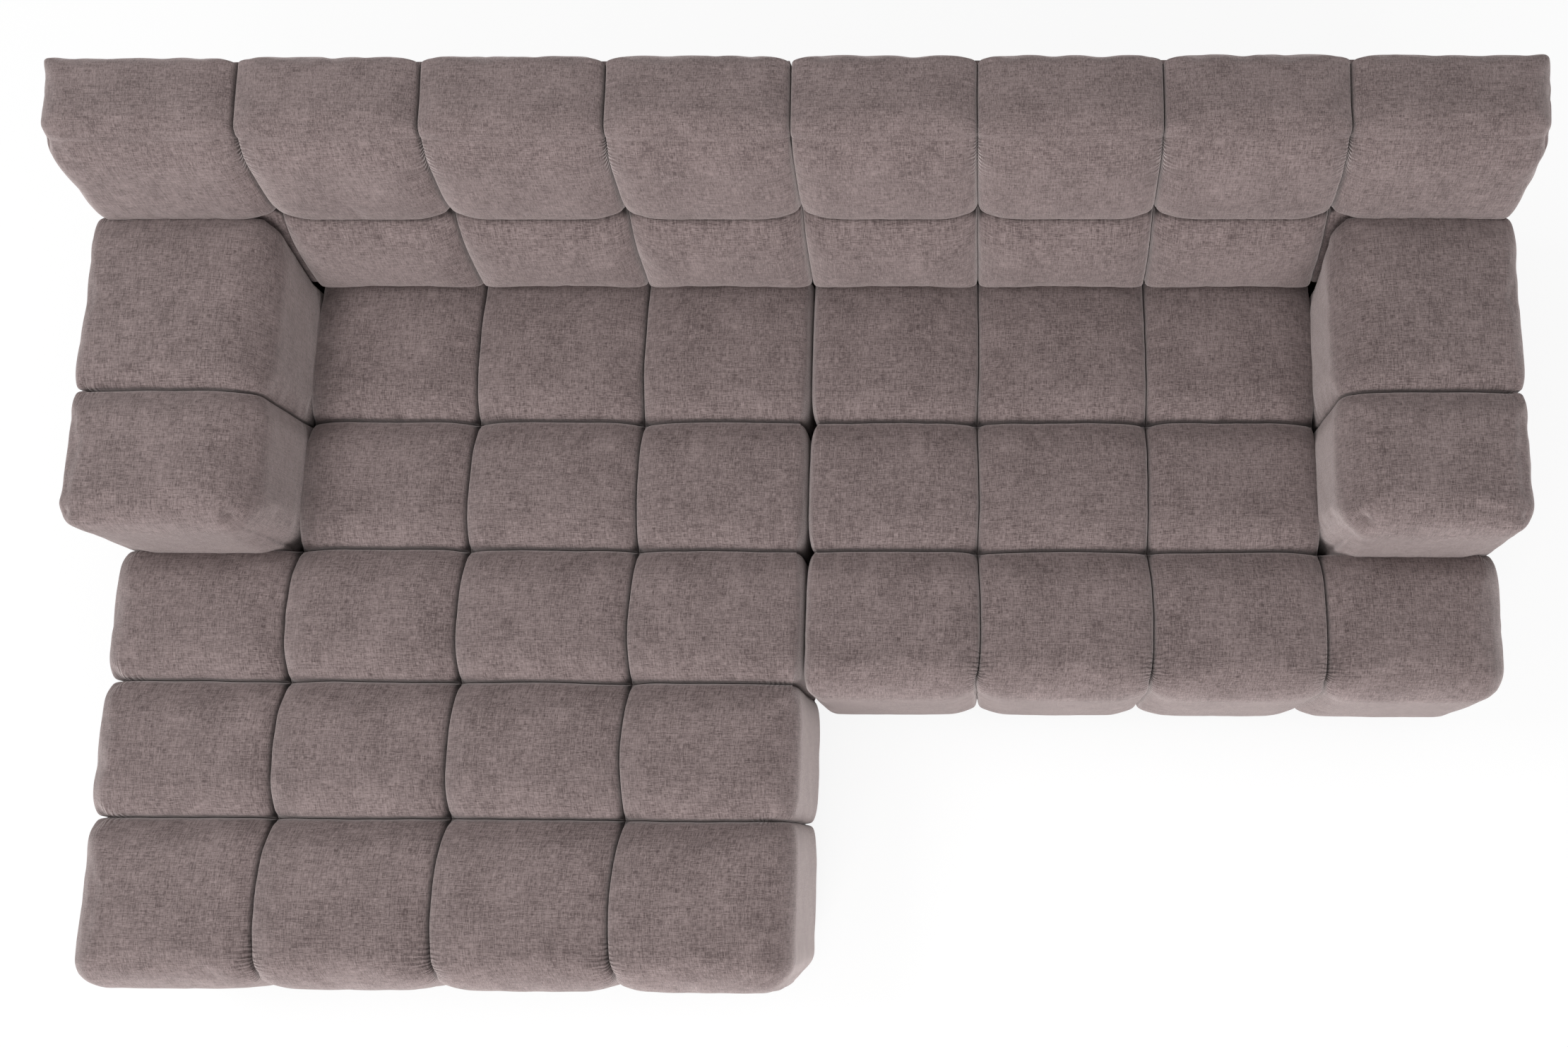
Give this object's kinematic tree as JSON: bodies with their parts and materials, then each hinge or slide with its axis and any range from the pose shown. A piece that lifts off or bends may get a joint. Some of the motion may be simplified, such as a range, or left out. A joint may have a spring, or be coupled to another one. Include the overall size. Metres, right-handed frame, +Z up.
{
  "type": "sectional sofa with chaise",
  "caption": "Low biscuit-tufted sectional sofa: a deep chaise unit and a shorter sofa unit with arms, joined by hidden connectors",
  "frame": {"origin": "on the floor, under the middle of the outline of both units together; the joint of the units lies at X = 0", "axes": "+Z up; -Y is the front, where a sitter's feet go; +X runs along the back, from the chaise unit towards the sofa unit"},
  "size_m": [2.612, 1.608, 0.8365],
  "materials": {
    "cover_fabric": "chenille velvet in mauve taupe over foam",
    "rear_fabric": "the same chenille velvet pulled flat over board",
    "dust_cover_cloth": "black spun-bonded cloth",
    "frame_wood": "sawn softwood and ply, unfinished",
    "leg_wood": "dark stained, satin lacquer",
    "webbing": "woven elastic webbing",
    "steel": "zinc-plated pressed steel",
    "felt": "pressed felt"
  },
  "bodies": {
    "chaise_unit": {"chaise_arm_boards": "frame_wood", "chaise_arm_bolts": "steel", "chaise_arm_pad": "cover_fabric", "chaise_arm_sides": "frame_wood", "chaise_back_bolts": "steel", "chaise_back_pad": "cover_fabric", "chaise_back_posts": "frame_wood", "chaise_back_straps": "webbing", "chaise_back_top_board": "frame_wood", "chaise_connector_cleats": "frame_wood", "chaise_corner_blocks": "frame_wood", "chaise_cross_rails": "frame_wood", "chaise_dust_cover": "dust_cover_cloth", "chaise_front_joint_leg": "leg_wood", "chaise_front_outer_leg": "leg_wood", "chaise_front_rail": "frame_wood", "chaise_glides": "felt", "chaise_joint_rail": "frame_wood", "chaise_leg_plates": "steel", "chaise_lumbar_rails": "frame_wood", "chaise_middle_leg": "leg_wood", "chaise_outer_rail": "frame_wood", "chaise_rear_board": "rear_fabric", "chaise_rear_joint_leg": "leg_wood", "chaise_rear_outer_leg": "leg_wood", "chaise_rear_rail": "frame_wood", "chaise_seat_pad": "cover_fabric", "chaise_seat_straps": "webbing", "connector_catches": "steel"},
    "sofa_unit": {"sofa_arm_boards": "frame_wood", "sofa_arm_bolts": "steel", "sofa_arm_pad": "cover_fabric", "sofa_arm_sides": "frame_wood", "sofa_back_bolts": "steel", "sofa_back_pad": "cover_fabric", "sofa_back_posts": "frame_wood", "sofa_back_straps": "webbing", "sofa_back_top_board": "frame_wood", "sofa_connector_cleats": "frame_wood", "sofa_corner_blocks": "frame_wood", "sofa_cross_rails": "frame_wood", "sofa_dust_cover": "dust_cover_cloth", "sofa_front_joint_leg": "leg_wood", "sofa_front_outer_leg": "leg_wood", "sofa_front_rail": "frame_wood", "sofa_glides": "felt", "sofa_joint_rail": "frame_wood", "sofa_leg_plates": "steel", "sofa_lumbar_rails": "frame_wood", "sofa_middle_leg": "leg_wood", "sofa_outer_rail": "frame_wood", "sofa_rear_board": "rear_fabric", "sofa_rear_joint_leg": "leg_wood", "sofa_rear_outer_leg": "leg_wood", "sofa_rear_rail": "frame_wood", "sofa_seat_pad": "cover_fabric", "sofa_seat_straps": "webbing", "connector_tongues": "steel"}
  },
  "joints": [
    {"name": "unit_slide", "type": "slide", "parent": "chaise_unit", "child": "sofa_unit", "axis": [1, 0, 0], "range_m": [0, 0.3]}
  ]
}
